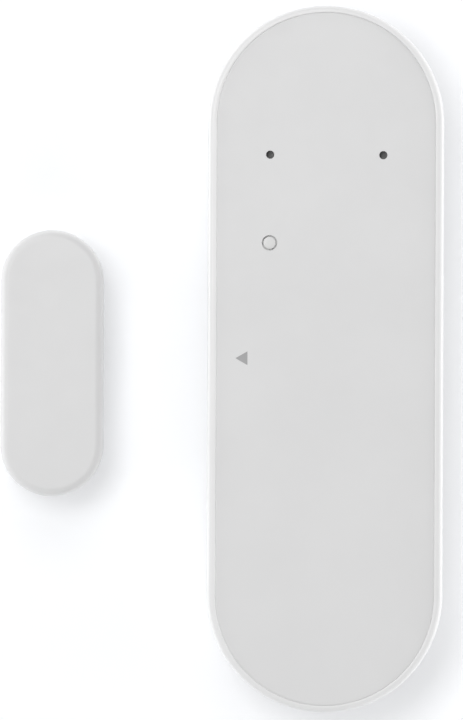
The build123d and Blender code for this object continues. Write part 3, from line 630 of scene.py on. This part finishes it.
# ------------------------------------------------------------------ front cover
bm = bmesh.new()
rings = [pill(11.62, B, 12.90), pill(11.75, B, 12.93), pill(SEAM_IN, B, 13.02), pill(SEAM_IN, B, 13.5)]
rings += [pill(o, B, z) for o, z in bend((SEAM_IN - 0.2536, 14.1 - 0.6), 0.60, 65, 90, 8)]
loft(bm, rings)
cover = make("front_panel", bm)
bm = bmesh.new()
loft(bm, [pill(11.15, B, 13.1), pill(11.15, B, 10.72), pill(11.03, B, 10.60),
          pill(10.47, B, 10.60), pill(10.35, B, 10.72), pill(10.35, B, 13.1)], close=True)
skirt = make("skirt", bm)
bm = bmesh.new()
for sx in (1, -1):
    for sy in (1, -1):
        for dy in (-3.4, 3.4):
            block(bm, (sx * 10.75 - 0.8, sy * 14.0 + dy - 0.4, 10.0), (sx * 10.75 + 0.8, sy * 14.0 + dy + 0.4, 12.9), 0)
boolean(skirt, bm, "DIFFERENCE")
bm = bmesh.new()
bm.from_mesh(skirt.data)
bpy.data.objects.remove(skirt)
boolean(cover, bm, "UNION")
LENS = (-6.08, 12.49)
PIN = ((6.15, 22.0), (-6.05, 22.0))
PIN_R = 0.44
for lo, hi in (
    ((-10.0, -12.4, 11.7), (0.4, -11.6, 13.1)), ((-10.0, -22.4, 11.7), (0.4, -21.6, 13.1)),
    ((-8.0, 30.6, 11.7), (8.0, 31.4, 13.1)), ((-2.0, 13.5, 11.7), (-1.2, 21.5, 13.1)),
    ((10.69, 11.8, 11.25), (11.25, 16.2, 11.75)), ((10.69, -16.2, 11.25), (11.25, -11.8, 11.75)),
    ((-11.25, 11.8, 11.25), (-10.69, 16.2, 11.75)), ((-11.25, -16.2, 11.25), (-10.69, -11.8, 11.75)),
):
    bm = bmesh.new()
    block(bm, lo, hi, 0.12 if hi[2] > 12 else 0.2, 3)
    boolean(cover, bm, "UNION")
bm = bmesh.new()
turned(bm, [(0, 11.6), (1.88, 11.6), (2.0, 11.72), (2.0, 13.1), (0, 13.1)], -4.4, 1.5, 48)
for x, y in PIN:
    turned(bm, [(0, 11.4), (1.4, 11.4), (1.5, 11.5), (1.5, 13.1), (0, 13.1)], x, y, 48)
turned(bm, [(0, 11.4), (2.4, 11.4), (2.5, 11.5), (2.5, 13.1), (0, 13.1)], *LENS, 64)
boolean(cover, bm, "UNION")
bm = bmesh.new()
for x, y in PIN:
    turned(bm, [(0, 11.0), (0.90, 11.0), (0.90, 12.9), (PIN_R, 12.9), (PIN_R, 14.06), (PIN_R + 0.01, 14.083), (PIN_R + 0.04, 14.1), (PIN_R + 0.05, 14.3), (0, 14.3)], x, y, 48)
turned(bm, [(0, 11.0), (1.8, 11.0), (1.8, 12.9), (0.82, 12.9), (0.82, 14.06), (0.828, 14.083), (0.86, 14.1), (0.88, 14.3), (0, 14.3)], *LENS, 64)
TRI = ((-9.70, 0.05), (-8.42, -0.69), (-8.42, 0.79))
lo_t = [bm.verts.new(Vector((x, y, 14.0)) * MM) for x, y in TRI]
hi_t = [bm.verts.new(Vector((x, y, 14.4)) * MM) for x, y in TRI]
bm.faces.new(list(reversed(lo_t)))
bm.faces.new(hi_t)
for i in range(3):
    j = (i + 1) % 3
    bm.faces.new((lo_t[i], lo_t[j], hi_t[j], hi_t[i]))
boolean(cover, bm, "DIFFERENCE")
dress(cover, MATS["panel"], COVER, ["front_cover"])

# woven gauze behind the pinholes
bm = bmesh.new()
for x, y in PIN:
    turned(bm, [(0, 12.5), (0.84, 12.5), (0.88, 12.54), (0.88, 12.84), (0.84, 12.88), (0.4, 12.895), (0, 12.9)], x, y, 40)
dress(make("gauze_discs", bm), MATS["gauze"], COVER, ["pinhole_gauze"])

# pointer: a printed inlay with a softened edge
bm = bmesh.new()


def shrunk(tri, d):
    cx, cy = sum(p[0] for p in tri) / 3, sum(p[1] for p in tri) / 3
    out = []
    for x, y in tri:
        v = Vector((x - cx, y - cy))
        out.append((cx + v.x * (1 - d / v.length), cy + v.y * (1 - d / v.length)))
    return out


rows = []
for d, z in ((0.012, 14.0), (0.012, 14.075), (0.03, 14.09)):
    rows.append([(x, y, z) for x, y in shrunk(TRI, d)])
loft(bm, rows)
dress(make("pointer_print", bm), MATS["print"], COVER, ["pointer_mark"])

# light pipe with its lens
bm = bmesh.new()
turned(bm, [(0, 6.1), (1.1, 6.1), (1.22, 6.16), (1.3, 6.4), (1.3, 12.2), (1.74, 12.2), (1.8, 12.26), (1.8, 12.9), (0.82, 12.9),
            (0.82, 13.60), (0.66, 13.60), (0.66, 14.06), (0.654, 14.078), (0.635, 14.088), (0.3, 14.09), (0, 14.09)], *LENS, 72)
dress(make("lens_and_pipe", bm), MATS["pipe"], COVER, ["light_pipe"])

# ------------------------------------------------------------------ magnet unit
MX, MY, MH = -29.54, -0.56, 8.85
bm = bmesh.new()
rings = [pill(4.25, MH, 9.80, MX, MY), pill(4.46, MH, 9.71, MX, MY), pill(4.55, MH, 9.5, MX, MY), pill(4.55, MH, 5.0, MX, MY),
         pill(4.55, MH, 0.80, MX, MY)]
rings += [pill(o, MH, z, MX, MY) for o, z in bend((5.55 - 0.25, 0.8 + 0.25), 0.25, -90, 0, 6)]
rings += [pill(5.55, MH, z, MX, MY) for z in (3.5, 7.0)]
rings += [pill(o, MH, z, MX, MY) for o, z in bend((5.55 - 0.9, 11.0 - 0.9), 0.9, 0, 90, 18)]
loft(bm, rings)
dress(make("magnet_cap", bm), MATS["magnet"], MAGNET, ["magnet_cover"])
keep("magnet_base", MATS["inside"])
keep("bar_magnet", MATS["magnet_metal"])


# ------------------------------------------------------------------ foam tapes
def tape(name, r, half, cx, cy, body, node, holes=()):
    bm = bmesh.new()
    prof = [(0.0, 0.0), (0.0, 0.05), (-0.04, 0.06), (-0.055, 0.2), (-0.03, 0.4), (-0.055, 0.6), (-0.04, 0.74), (0.0, 0.75), (0.0, 0.8)]
    loft(bm, [pill(r + d, half, z, cx, cy) for d, z in prof])
    ob = make(name, bm)
    if holes:
        bm = bmesh.new()
        for x, y in holes:
            turned(bm, [(0, -0.5), (3.0, -0.5), (3.0, 0.05), (3.05, 0.07), (3.05, 0.73), (3.0, 0.75), (3.0, 1.5), (0, 1.5)], x, y, 64)
        boolean(ob, bm, "DIFFERENCE")
    dress(ob, MATS["tape"], body, [node])


tape("tape_sensor", 11.2, H, 0, 0, SENSOR, "adhesive_pad_sensor", ((WALL[0], WALL[1]), (WALL[0], -WALL[1])))
tape("tape_magnet", 4.75, MH, MX, MY, MAGNET, "adhesive_pad_magnet")

# foam that holds the magnet still, squeezed under the cap
bm = bmesh.new()
ws = [(7.4, 0.0), (7.5, 0.08), (7.8, 0.13), (8.6, 0.16), (9.4, 0.13), (9.7, 0.08), (9.8, 0.0)]
ring_rows = []
for z, d in ws:
    hx, hy, c = 2.0 - 0.16 + d, 6.0 - 0.16 + d, 0.35
    row = []
    for qx, qy, a0 in ((1, 1, 0), (-1, 1, 90), (-1, -1, 180), (1, -1, 270)):
        for i in range(7):
            a = math.radians(a0 + 15 * i)
            row.append((MX + qx * (hx - c) + c * math.cos(a), MY + qy * (hy - c) + c * math.sin(a), z))
    ring_rows.append(row)
loft(bm, ring_rows)
foam_block = dress(make("magnet_foam_block", bm), MATS["grey_foam"], MAGNET, ["magnet_foam"])

# ------------------------------------------------------------------ inside
keep("main_board", MATS["resist"])
keep("radio_module", MATS["module"])
keep("radio_shield", MATS["tin"])
keep("board_screws", MATS["zinc"])
keep("status_led", MATS["epoxy"])
keep("reed_glass", MATS["glass"])
keep("reed_leads", MATS["wire"])
keep("reed_blade_a", MATS["blade"])
keep("reed_blade_b", MATS["blade"])
keep("pairing_switch", MATS["black"])
keep("pairing_button", MATS["brown"])
keep("tamper_switch", MATS["black"])
keep("tamper_plunger", MATS["acetal"])
keep("battery_cell", MATS["can"])
keep("contact_plate_negative", MATS["nickel"])
keep("contact_plate_positive", MATS["nickel"])
keep("boost_inductor", MATS["ferrite"])
keep("supply_capacitors", MATS["tantalum"])
keep("chip_parts", MATS["black"])

# shrink sleeve, folded over the cell's shoulders
bm = bmesh.new()
turned(bm, [(5.15, -26.50), (5.19, -26.55), (5.25, -26.48), (5.25, -26.0), (5.25, -10.0), (5.25, 5.0), (5.25, 15.6),
            (5.25, 16.0), (5.19, 16.05), (5.15, 16.0), (5.15, -26.50)], 5.2, 0, 96, "Y", 7.5)
dress(make("cell_sleeve", bm), MATS["film"], SENSOR, ["battery_sleeve"])

# battery spring: closed end turns and a conical body
bm = bmesh.new()
path = []
turns, y0, y1 = 4.6, -31.2 + 0.30, -27.0 - 0.30
for i in range(int(turns * 40) + 1):
    t = i / (turns * 40)
    rise = min(1.0, max(0.0, (t * turns - 0.8) / (turns - 1.6)))
    y = y0 + (y1 - y0) * rise
    r = 3.0 + (2.1 - 3.0) * t
    a = 2 * math.pi * t * turns
    path.append((5.2 + r * math.cos(a), y, 7.5 + r * math.sin(a)))
tube(bm, path, 0.28)
dress(make("cell_spring", bm), MATS["wire"], SENSOR, ["battery_spring"], 60)

# tamper spring: stretches between the switch and the plunger's collar
bm = bmesh.new()
path = []
turns = 4.2
for i in range(int(turns * 36) + 1):
    t = i / (turns * 36)
    rise = min(1.0, max(0.0, (t * turns - 0.7) / (turns - 1.4)))
    a = 2 * math.pi * t * turns
    path.append((-4.4 + 1.95 * math.cos(a), 1.5 + 1.95 * math.sin(a), 8.66 + (10.24 - 8.66) * rise))
tube(bm, path, 0.14, 12)
spring = dress(make("tamper_coil", bm), MATS["wire"], None, ["tamper_spring"], 60)
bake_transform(spring)

lo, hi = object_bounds()
